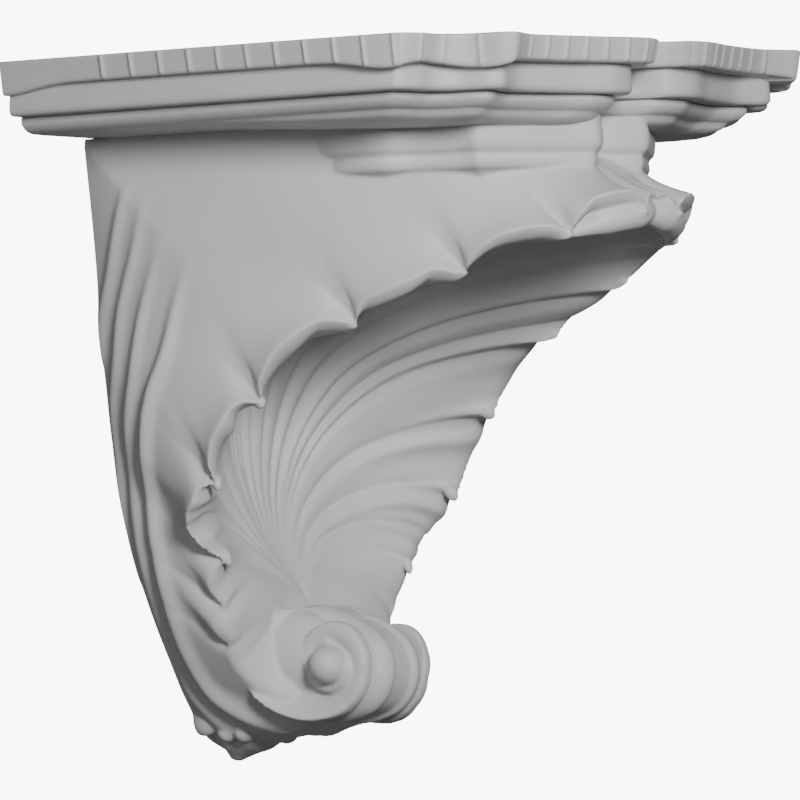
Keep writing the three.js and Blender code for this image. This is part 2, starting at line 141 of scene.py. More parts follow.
def along(line: Places, shares: Places) -> Places:
    """Points at shares of a line's length.

    Args:
        line: The line's points, one row each.
        shares: Where to read it, 0 at its start and 1 at its end.

    Returns:
        One point for each share.
    """
    run = np.r_[0.0, np.cumsum(np.linalg.norm(np.diff(line, axis=0), axis=1))]
    return np.stack([np.interp(np.asarray(shares) * run[-1], run, axis) for axis in line.T], axis=-1)


def mirrored(points: Places) -> Places:
    """The points on the other side of the middle plane."""
    return points * np.array([-1.0, 1.0, 1.0])


def both_sides(right: Places) -> Places:
    """A whole ring from its right half, which runs from the wall to the middle plane."""
    return np.vstack([right, mirrored(right[-2::-1])])


def unit(vectors: Places) -> Places:
    """The vectors at length 1."""
    return vectors / np.linalg.norm(vectors, axis=-1, keepdims=True)


def bell(away: Places, spread: float | Places, power: float = 2.0) -> Places:
    """Falls from 1 at the middle toward 0.

    Args:
        away: The distance from the middle.
        spread: The distance at which it has fallen to 0.37.
        power: How flat the middle is.

    Returns:
        The height, 0 to 1.
    """
    return np.exp(-((away / spread) ** power))


def ring_faces(rings: int, count: int) -> list[tuple[int, ...]]:
    """Faces over a stack of rings, with a fan to a pole at each end.

    Args:
        rings: How many rings there are.
        count: How many points each ring has.

    Returns:
        The faces. Vertex 0 is the first pole and the last vertex is the last pole.
    """
    faces: list[tuple[int, ...]] = []
    last = rings * count + 1
    for i in range(count):
        j = (i + 1) % count
        faces.append((0, 1 + j, 1 + i))
        faces.append((last, last - count + i, last - count + j))
        for ring in range(rings - 1):
            low = 1 + ring * count
            faces.append((low + i, low + j, low + count + j, low + count + i))
    return faces


def ring_piece(name: str, rings: Places, first: Places, last: Places) -> Piece:
    """A closed mesh over rings of equally many points.

    Args:
        name: The piece's name.
        rings: Points of every ring, shaped rings by points by 3.
        first: The pole before the first ring.
        last: The pole after the last ring.

    Returns:
        The new object, linked to the scene.
    """
    points = np.vstack([first, rings.reshape(-1, 3), last])
    mesh = bpy.data.meshes.new(name)
    mesh.from_pydata(points.tolist(), [], ring_faces(rings.shape[0], rings.shape[1]))
    mesh.update()
    piece = bpy.data.objects.new(name, mesh)
    bpy.context.scene.collection.objects.link(piece)
    turn_outward(piece)
    return piece


def choose(piece: Piece) -> None:
    """Makes the piece the only one selected, and active."""
    bpy.ops.object.select_all(action="DESELECT")
    piece.select_set(True)
    bpy.context.view_layer.objects.active = piece


def turn_outward(piece: Piece) -> None:
    """Makes every face of a closed piece look outwards."""
    choose(piece)
    bpy.ops.object.mode_set(mode="EDIT")
    bpy.ops.mesh.select_all(action="SELECT")
    bpy.ops.mesh.normals_make_consistent(inside=False)
    bpy.ops.object.mode_set(mode="OBJECT")


def smoothed(piece: Piece, degrees: float) -> Piece:
    """Shades a piece smoothly, apart from edges sharper than an angle.

    Args:
        piece: The piece.
        degrees: The angle.

    Returns:
        The same piece.
    """
    choose(piece)
    bpy.ops.object.shade_smooth_by_angle(angle=math.radians(degrees))
    return piece


def tube(
    name: str, line: Places, widths: Places, heights: Places, up: Sequence[float], sides: int = 20
) -> Piece:
    """A closed rounded ribbon along a line.

    Args:
        name: The piece's name.
        line: The ribbon's middle line in metres.
        widths: Its half width at each point, in metres, square to up.
        heights: Its half height at each point, in metres, along up.
        up: The direction of its height.
        sides: How many sides its section has.

    Returns:
        The ribbon.
    """
    ahead = unit(np.gradient(line, axis=0))
    aside = unit(np.cross(ahead, up))
    rise = np.cross(aside, ahead)
    turn = np.linspace(0.0, 2.0 * math.pi, sides, endpoint=False)
    rings = (
        line[:, None]
        + aside[:, None] * (widths[:, None] * np.cos(turn))[..., None]
        + rise[:, None] * (heights[:, None] * np.sin(turn))[..., None]
    )
    return ring_piece(name, rings, line[0], line[-1])


def sphere(name: str, segments: int, rings: int) -> Piece:
    """A sphere of radius 1 at the origin.

    Args:
        name: The piece's name.
        segments: How many segments it has around.
        rings: How many rings it has from pole to pole.

    Returns:
        The sphere, alone selected and active.
    """
    bpy.ops.object.select_all(action="DESELECT")
    bpy.ops.mesh.primitive_uv_sphere_add(
        segments=segments, ring_count=rings, radius=1.0, location=(0.0, 0.0, 0.0)
    )
    piece = bpy.context.active_object
    piece.name = name
    return piece


def ball(name: str, centre: Sequence[float], radii: Sequence[float], tilt: float = 0.0) -> Piece:
    """A rounded boss, made as a sphere and pressed to its three radii.

    Args:
        name: The piece's name.
        centre: Its across, reach and drop in millimetres.
        radii: Its radii across, out and up in millimetres.
        tilt: How far it is turned about the X axis, in radians.

    Returns:
        The boss.
    """
    piece = sphere(name, 48, 32)
    bpy.ops.object.mode_set(mode="EDIT")
    bpy.ops.mesh.select_all(action="SELECT")
    bpy.ops.transform.resize(value=tuple(r * MM for r in radii), center_override=(0.0, 0.0, 0.0))
    bpy.ops.object.mode_set(mode="OBJECT")
    piece.data.transform(Matrix.Translation(Vector(place(*centre))) @ Matrix.Rotation(tilt, 4, "X"))
    return piece


def petal(
    name: str, centre: Places, axes: tuple[Places, Places], radii: Sequence[float]
) -> Piece:
    """A flattened rounded body that lies along two directions.

    Args:
        name: The piece's name.
        centre: Its across, reach and drop in millimetres.
        axes: The directions of its first two radii, as across, reach and drop.
        radii: Its three radii in millimetres.

    Returns:
        The body.
    """
    piece = sphere(name, 24, 14)
    to_world = np.array([1.0, -1.0, -1.0])
    first, second = (axis * to_world for axis in axes)
    third = np.cross(first, second)
    columns = np.stack([first * radii[0], second * radii[1], third * radii[2]], axis=1) * MM
    turn = Matrix([[*row, 0.0] for row in columns.tolist()] + [[0.0, 0.0, 0.0, 1.0]])
    piece.data.transform(Matrix.Translation(Vector(place(*centre))) @ turn)
    return piece


@dataclass(frozen=True)
class Plan:
    """Half of a shelf outline seen from above, in millimetres.

    Attributes:
        half: Half the width at the wall.
        corner: Half the width at the front corner.
        side: How far out that corner stands.
        ear: How far aside the ear stands.
        ear_reach: How far out it stands.
        crest: How far aside the crest by the notch stands.
        reach: How far out it stands.
        notch: How far out the middle notch stands.
    """

    half: float
    corner: float
    side: float
    ear: float
    ear_reach: float
    crest: float
    reach: float
    notch: float

    def set_in(self, inset: float, setback: float, deeper: float = 0.0) -> "Plan":
        """The outline set in at the wall ends and set back at the front.

        Args:
            inset: How far the wall ends move in.
            setback: How far the front moves back.
            deeper: How much more the middle notch moves back.

        Returns:
            The smaller outline.
        """
        return Plan(
            self.half - inset,
            self.corner - 0.5 * (inset + setback),
            self.side - 0.5 * (inset + setback),
            self.ear - 0.52 * setback,
            self.ear_reach - 1.1 * setback,
            self.crest + 0.35 * setback,
            self.reach - setback,
            self.notch - setback - deeper,
        )

    def curve(self, count: int) -> Places:
        """Evenly spaced points from the wall to the middle.

        Args:
            count: How many points.

        Returns:
            Points as across and reach in millimetres.
        """
        gap, rise = self.corner - self.ear, self.ear_reach - self.side
        base = self.ear_reach - 0.17 * rise
        shoulder = 0.81 * self.ear
        stops = [
            (self.half, 0.0),
            (self.half + 0.4 * (self.corner - self.half), 0.5 * self.side),
            (self.corner, self.side - 0.15 * gap),
            (self.corner - 0.04 * gap, self.side),
            (self.corner - 0.29 * gap, self.side + 0.13 * rise),
            (self.ear + 0.41 * gap, self.side + 0.15 * rise),
            (self.ear + 0.22 * gap, self.side + 0.38 * rise),
            (self.ear + 0.12 * gap, self.side + 0.85 * rise),
            (self.ear, self.ear_reach),
            (0.9 * self.ear, self.ear_reach - 0.1 * rise),
            (shoulder, base),
            (shoulder + 0.55 * (self.crest - shoulder), base + 0.45 * (self.reach - base)),
            (self.crest, self.reach),
            (0.5 * self.crest, self.reach - 0.13 * (self.reach - self.notch)),
            (0.25 * self.crest, self.reach + 0.68 * (self.notch - self.reach)),
            (0.0, self.notch),
        ]
        return smooth_curve(stops, count)


@dataclass
class Shelf:
    """The fluted rim, the fillet, the ovolo and the cove under it."""

    plan: Plan = Plan(
        half=178.5, corner=173.0, side=238.5, ear=123.0, ear_reach=274.5, crest=28.0, reach=285.0, notch=267.0
    )
    rim_height: float = 12.5
    rim_dip: float = 4.5
    dip_spread: float = 22.0
    rim_slant: float = 2.6
    fillet_height: float = 14.5
    ovolo_height: float = 8.0
    cove_reach: float = 30.0
    cove_rise: float = 5.5
    ridge_width: float = 3.0
    ridge_height: float = 1.0
    plain_end: float = 61.0
    side_pitch: float = 17.3
    side_ridges: int = 14
    front_pitch: float = 13.0
    front_ridges: int = 8
    # The rim's edges: millimetres from the top or the foot, how far set in, and how much of a ridge.
    rim_top: Triples = (
        (0.0, 2.4, 0.0), (0.0, 1.6, 0.0), (0.12, 0.9, 0.5), (0.5, 0.3, 0.7), (1.2, 0.0, 1.0),
    )
    rim_foot: Triples = ((0.8, 0.2, 0.8), (0.15, 0.9, 0.4), (0.0, 1.8, 0.0))
    # How far set in, and millimetres under the fillet's foot, or shares of the ovolo's height under it,
    # or millimetres under the ovolo's foot.
    fillet_section: Pairs = (
        (-0.4, -4.0), (-0.2, -2.2), (0.6, -0.8), (2.2, 0.0),
    )
    ovolo_head: Pairs = ((0.8, 0.1), (0.0, 0.9))
    ovolo_section: Pairs = ((0.0, 0.35), (0.9, 0.55), (2.6, 0.75), (5.2, 0.92))
    cove_section: Pairs = (
        (7.2, -0.2), (8.4, 0.5), (9.4, 2.2), (11.5, 3.6), (16.0, 4.9), (22.0, 5.6),
    )
    lap: tuple[float, float] = (3.0, 5.0)
    lap_clear: float = 0.3
    pole: float = 0.45
    sharp: float = 35.0

    def ridges(self, length: float) -> list[float]:
        """Where the rim's ridges stand, as millimetres along the half outline."""
        side = [self.plain_end + k * self.side_pitch for k in range(self.side_ridges)]
        first = length - self.plan.crest / 2
        return side + [first - (k + 0.5) * self.front_pitch for k in range(self.front_ridges)]

    def build_rim(self) -> Piece:
        """The slab with its ridged face and its lower edge that dips at ends, corners and ears."""
        half = self.plan.curve(760)
        half[:, 1] = np.maximum(half[:, 1], 0.0)
        run = np.r_[0.0, np.cumsum(np.linalg.norm(np.diff(half, axis=0), axis=1))]
        tangent = unit(np.gradient(half, axis=0))
        outward = np.stack([tangent[:, 1], -tangent[:, 0]], axis=-1)
        outward[-1] = (0.0, 1.0)
        ridge = np.zeros(len(run))
        for at in self.ridges(run[-1]):
            ridge = np.maximum(ridge, bell(run - at, 0.42 * self.ridge_width))
        ear = self.plan.side + self.plan.corner - self.plan.ear
        dips = (0.0, self.plan.side - 0.5 * self.dip_spread, ear)
        lower = self.rim_dip * sum(bell(run - at, self.dip_spread) for at in dips)
        levels = list(self.rim_top)
        levels += [(levels[-1][0] + k, 0.0, 1.0) for k in np.linspace(0.0, self.rim_height - 3.0, 9)[1:]]
        levels += [(self.rim_height - rise, inset, ridged) for rise, inset, ridged in self.rim_foot]
        rings = []
        for drop, inset, ridged in levels:
            share = drop / self.rim_height
            out = self.ridge_height * ridge * ridged - inset - self.rim_slant * share
            flat = half + outward * out[:, None]
            flat[-1, 0] = 0.0
            rings.append(both_sides(place(flat[:, 0], np.maximum(flat[:, 1], 0.0), drop + lower * share)))
        poles = [place(0.0, self.pole * self.plan.reach, drop) for drop in (0.0, self.rim_height)]
        return smoothed(ring_piece("rim", np.array(rings), *poles), self.sharp)

    def build_mouldings(self) -> Piece:
        """The fillet, the ovolo and the cove, in one stack."""
        foot = self.rim_height + self.fillet_height
        ovolo_foot = foot + self.ovolo_height
        fillet = self.plan.set_in(8.0, 13.5, 9.0)
        ovolo = fillet.set_in(9.5, 9.5)
        over, under = self.lap
        levels = [(fillet, self.rim_height - over), (fillet, self.rim_height + under)]
        levels += [(fillet.set_in(inset, inset), foot + below) for inset, below in self.fillet_section]
        levels += [(ovolo.set_in(inset, inset), foot + below) for inset, below in self.ovolo_head]
        tall = self.ovolo_height
        levels += [(ovolo.set_in(inset, inset), foot + share * tall) for inset, share in self.ovolo_section]
        levels += [(ovolo.set_in(inset, inset), ovolo_foot + below) for inset, below in self.cove_section]
        levels.append((ovolo.set_in(self.cove_reach, self.cove_reach), SOFFIT))
        rings = []
        for plan, drop in levels:
            half = plan.curve(420)
            front = smoothstep(half[:, 1], 0.2 * self.plan.reach, 0.7 * self.plan.reach)
            low = np.clip((drop - ovolo_foot) / (SOFFIT - ovolo_foot), 0.0, 1.0)
            rise = low * self.cove_rise * (1.0 - front)
            # The head laps the rim, so it keeps clear of the wall face that the rim's back lies in.
            clear = self.lap_clear if drop <= self.rim_height + under else 0.0
            rings.append(both_sides(place(half[:, 0], np.maximum(half[:, 1], clear), drop - rise)))
        poles = [place(0.0, self.pole * self.plan.reach, drop) for drop in (self.rim_height - over, SOFFIT)]
        return smoothed(ring_piece("mouldings", np.array(rings), *poles), self.sharp)


@dataclass
class Neck:
    """Two rounded bands between the soffit and the shell."""

    outline: Pairs = (
        (0.29, -0.01), (0.3, 0.38), (0.321, 0.49), (0.314, 0.565), (0.283, 0.605), (0.26, 0.675),
        (0.255, 0.71), (0.22, 0.735), (0.17, 0.765), (0.11, 0.8), (0.07, 0.825), (0.035, 0.81), (0.0, 0.78),
    )
    # Millimetres under the soffit, and how far set in.
    section: Pairs = (
        (-6.0, 1.0), (-1.0, 1.0), (1.0, 0.3), (4.0, 0.0), (8.5, 0.3), (11.0, 1.2), (12.4, 3.0), (13.0, 5.6),
        (13.4, 5.4), (14.4, 3.6), (16.5, 3.0), (19.0, 3.6), (20.6, 5.0), (21.6, 8.0), (30.0, 26.0),
    )
    pole: float = 0.4

    def ring(self, drop: float, inset: float) -> Places:
        """One ring of the neck.

        Args:
            drop: Millimetres under the shelf top.
            inset: How far in from the neck's outline.

        Returns:
            The ring's points in metres.
        """
        half = smooth_curve(np.asarray(self.outline) * SHELL_HEIGHT, 260)
        tangent = unit(np.gradient(half, axis=0))
        half = half + np.stack([-tangent[:, 1], tangent[:, 0]], axis=-1) * inset
        half[-1, 0] = 0.0
        return both_sides(place(half[:, 0], half[:, 1], drop))

    def build(self) -> Piece:
        """Both bands in one stack, from inside the soffit to inside the shell."""
        rings = np.array([self.ring(SOFFIT + below, inset) for below, inset in self.section])
        ends = (self.section[0][0], self.section[-1][0])
        poles = [place(0.0, self.pole * SHELL_HEIGHT, SOFFIT + below) for below in ends]
        return ring_piece("neck", rings, *poles)


@dataclass
class Shell:
    """The open shell: a ribbed hollow, a ruffled lip and grooved flanks, in shares of its height."""

    lip: Triples = (
        (0, 0.89, 0.12), (0.072, 0.89, 0.128), (0.16, 0.82, 0.165), (0.211, 0.734, 0.197),
        (0.242, 0.653, 0.229), (0.281, 0.544, 0.273), (0.306, 0.439, 0.317), (0.329, 0.365, 0.36),
        (0.341, 0.315, 0.425), (0.35, 0.266, 0.482), (0.352, 0.235, 0.546), (0.324, 0.198, 0.622),
        (0.27, 0.184, 0.681), (0.248, 0.164, 0.745), (0.214, 0.146, 0.812), (0.137, 0.165, 0.9),
        (0.06, 0.238, 0.938), (0, 0.265, 0.946),
    )
    # The flank's far edge along the soffit, then along the wall.
    top: Pairs = (
        (0, 0.74), (0.07, 0.765), (0.155, 0.725), (0.225, 0.67),
        (0.28, 0.56), (0.315, 0.4), (0.338, 0.22), (0.354, -0.01),
    )
    wall_edge: Pairs = (
        (0.354, -0.016), (0.331, 0.151), (0.3125, 0.349), (0.276, 0.556), (0.243, 0.661),
        (0.2, 0.75), (0.152, 0.829), (0.108, 0.9), (0.06, 0.955), (0, 0.98),
    )
    # Shares along the lip, and how far the lobe after each tuck swells in millimetres.
    tucks: Pairs = (
        (-0.03, 5.0), (0.03, 8.0), (0.125, 8.0), (0.245, 6.5), (0.375, 7.5), (0.51, 7.0), (0.613, 8.5),
        (0.715, 5.0), (0.765, 4.0), (0.81, 2.0), (0.9, 1.0), (1.02, 0.0),
    )
    corner_share: float = 0.47
    buried: float = 5.0
    # The point that the ribs leave, and the hollow's deepest line in the middle plane.
    hinge: tuple[float, float, float] = (0.0, 0.165, 0.737)
    back: Pairs = (
        (0.888, 0.12), (0.66, 0.137), (0.46, 0.161), (0.3, 0.2), (0.18, 0.27), (0.115, 0.36),
        (0.085, 0.5), (0.1, 0.62), (0.165, 0.737), (0.2, 0.85), (0.265, 0.946),
    )
    sweep: float = 1.42
    roundness: float = 2.2
    swirl: float = 0.45
    ribs: float = 12.0
    rib_depth: float = 4.0
    wall: float = 4.2
    open_side: tuple[float, float, float] = (0.0, 190.0, 230.0)
    tuck_width: float = 0.009
    # How lobes and tucks work the lip, in millimetres, and the shares of the lip over which that fades.
    lobe_pull: float = 0.55
    tuck_press: float = 2.0
    tuck_pull: float = 3.0
    scallop: float = 2.4
    lip_fade: tuple[float, float] = (0.78, 0.88)
    flank_bow: tuple[float, float] = (-0.035, 0.055)
    dent: float = 1.6
    dent_run: float = 34.0
    crease_drift: float = 0.0006
    # The furrows behind each tuck: depth, half width and offset as shares of the lip, run and its power.
    creases: Sequence[tuple[float, ...]] = ((2.8, 0.012, 0.0, 26.0, 1.6), (2.4, 0.004, 0.007, 11.0, 2.0))
    tongue: tuple[float, float, float] = (3.2, 3.4, 2.4)
    tongue_growth: float = 0.2
    tongue_shift: tuple[float, float, float] = (-3.6, 2.8, 1.5)
    nose: Triples = ((0, 262, 84), (12, 264, 85), (28, 258, 89), (44, 246, 96))
    # Depth and half width, then stops as millimetres out from the wall and under the shelf top.
    grooves: Sequence[tuple[float, float, Pairs]] = (
        (2.0, 3.4, ((29, 56), (25, 64), (18, 82), (10, 106), (4, 121), (-2, 143))),
        (2.2, 3.6, (
            (42, 58), (37, 68), (29, 94), (18, 122), (12, 148), (5, 171), (3, 194), (-2, 229), (-4, 252),
        )),
        (2.6, 3.8, (
            (52, 76), (47, 88), (38, 110), (31, 131), (25, 154), (16, 182), (12, 207),
            (9, 232), (8, 255), (7, 275), (6, 297), (7, 311), (12, 321), (18, 330),
        )),
        (4.2, 4.2, (
            (67, 88), (62, 101), (55, 119), (47, 145), (35, 170), (27, 199), (22, 225), (21, 246),
            (20, 271), (19, 293), (22, 311), (33, 322), (46, 328), (60, 332), (80, 333),
        )),
    )
    groove_end: tuple[float, float] = (331.0, 336.0)
    steps: int = 620
    hollow_levels: int = 92
    flank_levels: int = 96

    def __post_init__(self) -> None:
        """Reads the smooth lip, the flank's far edge and the levels of both surfaces."""
        self.shares = np.linspace(0.0, 1.0, self.steps)
        self.smooth_lip = self.carve(along(smooth_curve(self.lip, 1200), self.shares))
        self.border = self.far_edge()
        self.hollow_at = 1.0 - (1.0 - np.linspace(0.0, 1.0, self.hollow_levels + 1)[1:-1]) ** 1.25
        self.flank_at = np.linspace(0.0, 1.0, self.flank_levels + 1)[1:] ** 1.25

    def carve(self, points: Places) -> Places:
        """Millimetres across, out and down from shares of the shell's height."""
        return np.asarray(points, float) * SHELL_HEIGHT + np.array([0.0, 0.0, SOFFIT])

    def far_edge(self) -> Places:
        """The far edge of the flank: first the soffit, then the wall face."""
        top = self.carve(smooth_curve([(a, r, -self.buried / SHELL_HEIGHT) for a, r in self.top], 400))
        edge = self.carve(smooth_curve([(a, -BEHIND / SHELL_HEIGHT, d) for a, d in self.wall_edge], 400))
        corner = self.corner_share
        on_top = along(top, np.clip(self.shares / corner, 0.0, 1.0))
        on_wall = along(edge, np.clip((self.shares - corner) / (1.0 - corner), 0.0, 1.0))
        return np.where((self.shares <= corner)[:, None], on_top, on_wall)

    def lobes(self) -> tuple[Places, Places, Places]:
        """How the ruffles swell along the lip.

        Returns:
            The swell from 0 at a tuck to 1 between two, its size in millimetres, and the nearness to a tuck.
        """
        at, size = np.array(self.tucks).T
        which = np.clip(np.searchsorted(at, self.shares, side="right") - 1, 0, len(at) - 2)
        inside = (self.shares - at[which]) / (at[which + 1] - at[which])
        swell = np.sin(np.pi * np.clip(inside, 0.0, 1.0) ** 0.85) ** 0.7
        near = bell(np.abs(self.shares[:, None] - at).min(axis=1), self.tuck_width)
        return swell, size[which], near

    def hollow(self) -> Places:
        """The ribbed hollow: a round recess, read along paths that swirl from the hinge to the lip.

        Returns:
            Points in millimetres, steps by levels.
        """
        shares, lip, out, hinge = self.shares, self.smooth_lip, self.hollow_at, self.carve(self.hinge)
        aside = np.sin(out * self.sweep) / math.sin(self.sweep)
        across, up = lip[:, 0] - hinge[0], hinge[2] - lip[:, 2]
        angle, far = np.arctan2(across, up), np.hypot(across, up)
        start = self.swirl + (1.0 - self.swirl) * smoothstep(angle / math.pi, 0.3, 0.85)
        angle = angle[:, None] * (start[:, None] + (1.0 - start[:, None]) * out[None, :] ** 0.8)
        x = far[:, None] * aside * np.sin(angle)
        drop = hinge[2] - far[:, None] * aside * np.cos(angle)
        back = self.carve(smooth_curve([(0.0, r, d) for r, d in self.back], 400))
        edge = np.maximum(np.interp(drop, lip[:, 2], lip[:, 0]), 1e-6)
        rim = np.interp(drop, lip[:, 2], lip[:, 1])
        deep = np.interp(drop, back[:, 2], back[:, 1])
        reach = deep + (rim - deep) * np.clip(x / edge, 0.0, 1.0) ** self.roundness
        base = np.stack([x, reach, drop], axis=-1)
        tall = self.rib_depth * smoothstep(out, 0.05, 0.4) * (1.0 - 0.55 * smoothstep(out, 0.9, 1.0))
        seam = smoothstep(shares, 0.0, 0.012) * (1.0 - smoothstep(shares, 0.93, 1.0))
        away = np.linalg.norm(base - lip[:, None], axis=-1)
        heavier = self.wall * (1.0 + 0.4 * (1.0 - smoothstep(shares, 0.42, 0.6)))
        thick = heavier[:, None] * (1.0 - np.exp(-away / 3.0)) * np.exp(-away / 70.0)
        lift = self.rib_crest(out) * tall[None, :] * seam[:, None]
        lift = lift + thick * smoothstep(shares, 0.0, 0.03)[:, None]
        # Near the lip the ribs never cut through the wall to the flank.
        lift = np.maximum(lift, (thick - 0.12 * away) * seam[:, None])
        normal = self.normals(base)
        normal *= np.sign((normal * (np.array(self.open_side) - base)).sum(axis=-1, keepdims=True))
        return base + normal * lift[..., None]

    def rib_crest(self, out: Places) -> Places:
        """The section of the ribs: round crests with crisp valleys and a finer rib riding on each.

        Args:
            out: Levels from the hinge to the lip.

        Returns:
            Heights from about -0.6 to 0.6, steps by levels.
        """
        shares = self.shares
        wander = 0.22 * np.sin(2 * math.pi * 3.1 * shares) + 0.12 * np.sin(2 * math.pi * 7.3 * shares + 1.0)
        phase = (self.ribs * shares + wander)[:, None] - 0.12 * out[None, :]
        crest = np.abs(np.sin(math.pi * phase)) ** 0.75 - 0.55
        forward = smoothstep(shares, 0.25, 0.55)[:, None] * smoothstep(out, 0.45, 0.75)[None, :]
        return crest + 0.2 * np.cos(4 * math.pi * phase + 0.7) * forward

    def flank(self) -> Places:
        """The smooth flank with its long grooves.

        Returns:
            Points in millimetres, steps by levels.
        """
        shares, back = self.shares, self.flank_at
        base = self.smooth_lip[:, None] * (1.0 - back)[None, :, None]
        base = base + self.border[:, None] * back[None, :, None]
        side = np.sin(0.5 * math.pi * np.minimum(1.0, 1.6 * shares))
        outward = np.stack([side, np.sqrt(1.0 - side * side), np.zeros_like(side)], axis=-1)
        hollowed, rise = self.flank_bow
        swell = (hollowed + rise * smoothstep(shares, 0.02, 0.35))[:, None] * np.sin(math.pi * back)[None, :]
        base = base + outward[:, None] * (swell * SHELL_HEIGHT)[..., None]
        cut = np.zeros(base.shape[:2])
        for depth, width, stops in self.grooves:
            line = smooth_curve(stops, 90)
            run = np.linspace(0.0, 1.0, len(line))
            away = np.hypot(base[..., 1, None] - line[:, 0], base[..., 2, None] - line[:, 1])
            nearest = run[away.argmin(axis=-1)]
            taper = smoothstep(nearest, 0.0, 0.25)
            cut += depth * taper * bell(away.min(axis=-1), width * (0.75 + 0.5 * nearest))
        cut *= (1.0 - smoothstep(base[..., 2], *self.groove_end)) * smoothstep(base[..., 0], 4.0, 20.0)
        return base + self.normals(base) * cut[..., None]

    def surfaces(self) -> tuple[Places, Places, Places]:
        """Flares and tucks the lip of the right half, and carries that into the surfaces beside it.

        Returns:
            The hollow, the lip and the flank in millimetres.
        """
        shares, lip = self.shares, self.smooth_lip
        hollow, flank = self.hollow(), self.flank()
        swell, amount, near = self.lobes()
        backward = self.border - lip
        length = np.linalg.norm(backward, axis=1, keepdims=True)
        backward = backward / length
        outward = unit(np.cross(unit(np.gradient(lip, axis=0)), backward))
        outward *= np.sign((outward * np.array([1.0, 0.35, 0.3])).sum(axis=1, keepdims=True))
        fade = smoothstep(shares, 0.0, 0.02) * (1.0 - smoothstep(shares, *self.lip_fade))
        flare = (swell * amount - self.tuck_press * near) * fade
        crest = self.rib_crest(np.array([1.0]))[:, 0]
        pull = (self.lobe_pull * swell * amount - self.tuck_pull * near - self.scallop * crest) * fade
        shift = outward * flare[:, None] + backward * pull[:, None]
        to_lip = np.linalg.norm(hollow - lip[:, None], axis=-1)
        hollow = hollow + shift[:, None] * bell(to_lip, 15.0, 1.3)[..., None]
        off_lip = self.flank_at[None, :] * length
        flank = flank + shift[:, None] * bell(off_lip, 13.0, 1.3)[..., None]
        aside = shares[:, None] - self.crease_line(off_lip)
        crease = sum(
            depth * bell(aside + offset, width) * bell(off_lip, run, power)
            for depth, width, offset, run, power in self.creases
        )
        crease *= fade[:, None] * (1.0 - bell(off_lip, 5.0))
        crease *= (0.6 + 0.25 * smoothstep(shares, 0.12, 0.25) - 0.4 * smoothstep(shares, 0.55, 0.7))[:, None]
        dent = self.dent * (1.0 - swell)[:, None] * bell(off_lip, self.dent_run) * fade[:, None]
        flank = flank - outward[:, None] * (crease + dent)[..., None]
        return hollow, lip + shift, flank

    def crease_line(self, away: Places) -> Places:
        """The share of the nearest tuck at each point of the flank, drifting upward away from the lip.

        Args:
            away: Millimetres from the lip, steps by levels.

        Returns:
            The nearest tuck's share.
        """
        at = np.array(self.tucks)[:, 0]
        drift = -self.crease_drift * away
        gap = np.abs(self.shares[:, None, None] - (at[None, None, :] + drift[..., None]))
        return at[gap.argmin(axis=-1)] + drift

    def normals(self, base: Places) -> Places:
        """Unit normals of a grid of points.

        Args:
            base: Points, steps by levels.

        Returns:
            One normal for each point.
        """
        normal = np.cross(np.gradient(base, axis=0), np.gradient(base, axis=1))
        return normal / np.maximum(np.linalg.norm(normal, axis=-1, keepdims=True), 1e-9)

    def build_tongues(self, lip: Places, hollow: Places, flank: Places) -> list[Piece]:
        """The small curled tongues that stand out of the tucks.

        Args:
            lip: The ruffled lip in millimetres.
            hollow: The hollow's points.
            flank: The flank's points.

        Returns:
            One tongue for each tuck on each side.
        """
        made = []
        length, width, height = self.tongue
        for share, size in self.tucks[1:-3]:
            step = int(share * (self.steps - 1))
            here, outer, inner = lip[step], flank[step, 12], hollow[step, -12]
            ahead = unit(here - 0.5 * (outer + inner))
            tangent = unit(lip[step + 4] - lip[step - 4])
            inward = np.cross(tangent, ahead)
            inward *= np.sign((inward * (inner - outer)).sum())
            centre = here + self.tongue_shift[0] * ahead
            centre = centre + self.tongue_shift[1] * inward + self.tongue_shift[2] * tangent
            radii = (length + self.tongue_growth * size, width, height)
            for side in SIDES:
                flip = np.array([side, 1.0, 1.0])
                made.append(petal("tongue", centre * flip, (ahead * flip, tangent * flip), radii))
        return made

    def build_nose(self) -> Piece:
        """The rolled tip of the shell under the front of the shelf."""
        left = [(-across, reach, drop) for across, reach, drop in self.nose[:0:-1]]
        line = smooth_curve([*left, *self.nose], 90)
        share = np.linspace(-1.0, 1.0, len(line))
        size = np.interp(np.abs(share), [0.0, 0.25, 0.6, 1.0], [7.0, 9.5, 8.0, 2.0]) * MM
        return tube("nose", place(*line.T), size, 0.9 * size, UP)

    def build(self) -> list[Piece]:
        """The shell as one closed piece, its rolled nose and the tongues of its tucks."""
        hollow, lip, flank = self.surfaces()
        grid = np.concatenate([hollow, lip[:, None], flank], axis=1)
        grid[[0, -1], :, 0] = 0.0
        right = place(grid[..., 0], grid[..., 1], grid[..., 2])
        rings = np.concatenate([right, mirrored(right[-2:0:-1])], axis=0).transpose(1, 0, 2)
        hinge = place(*self.carve(self.hinge))
        body = ring_piece("shell", rings, hinge, place(0.0, -BEHIND, SOFFIT - self.buried))
        return [body, self.build_nose(), *self.build_tongues(lip, hollow, flank)]


